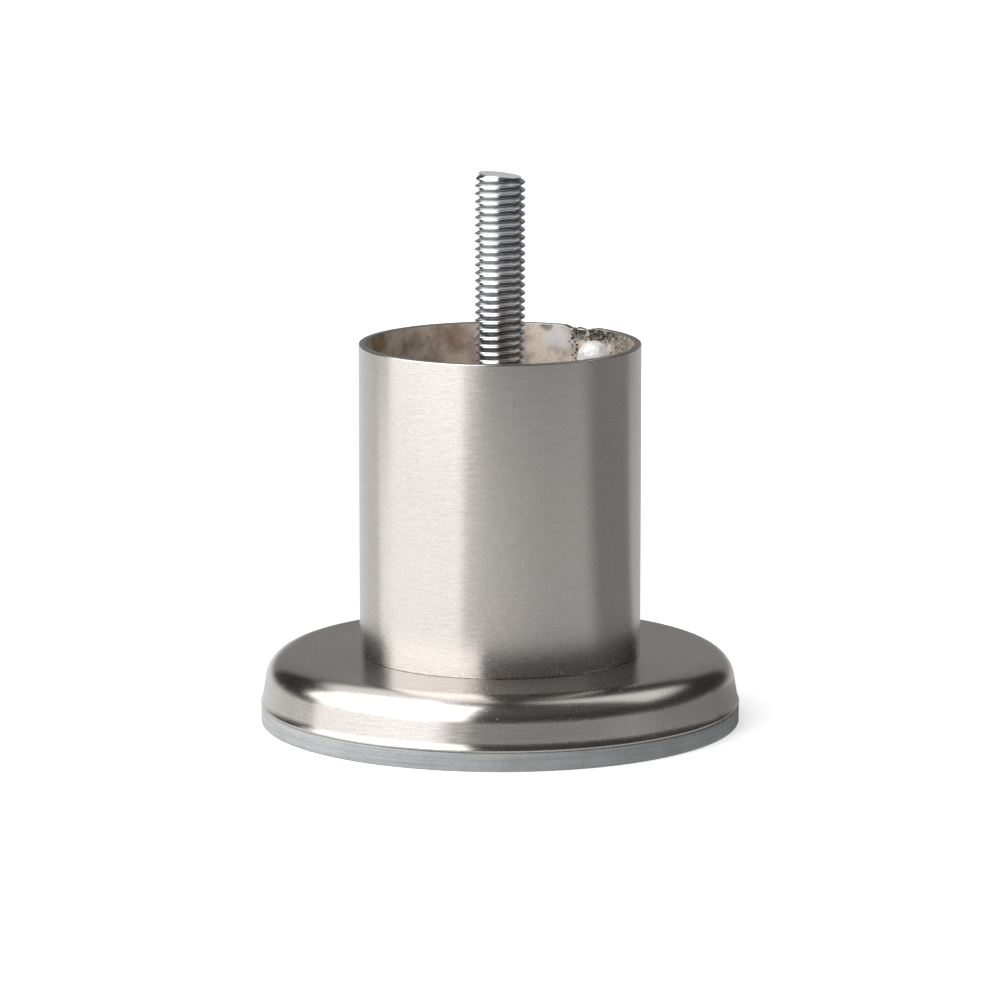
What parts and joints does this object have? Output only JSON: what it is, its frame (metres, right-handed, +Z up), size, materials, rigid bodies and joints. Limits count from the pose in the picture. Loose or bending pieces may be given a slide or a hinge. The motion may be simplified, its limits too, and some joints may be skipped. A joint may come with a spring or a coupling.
{
  "type": "furniture leg",
  "caption": "Round brushed metal furniture leg: open tube on a bell-shaped base with a grey plastic foot, and a threaded stud rising from the middle to screw into furniture.",
  "frame": {"origin": "on the floor under the centre of the foot disc", "axes": "+Z up along the tube and stud, +X along the flat bar that carries the stud"},
  "size_m": [0.0762, 0.0762, 0.0875],
  "materials": {
    "brushed_nickel": "nickel plate brushed round the axis, semi-gloss",
    "bare_steel": "plain steel with dull weld metal, some of it plated over",
    "zinc_steel": "bright zinc plate on a rolled thread",
    "grey_plastic": "matte, light bluish grey, faintly lined round the edge"
  },
  "bodies": {
    "root": {"tube": "brushed_nickel", "base_bell": "brushed_nickel", "base_welds": "bare_steel", "stud_strap": "bare_steel", "strap_welds": "bare_steel", "stud": "zinc_steel", "stud_weld": "bare_steel", "foot_disc": "grey_plastic"}
  },
  "joints": []
}
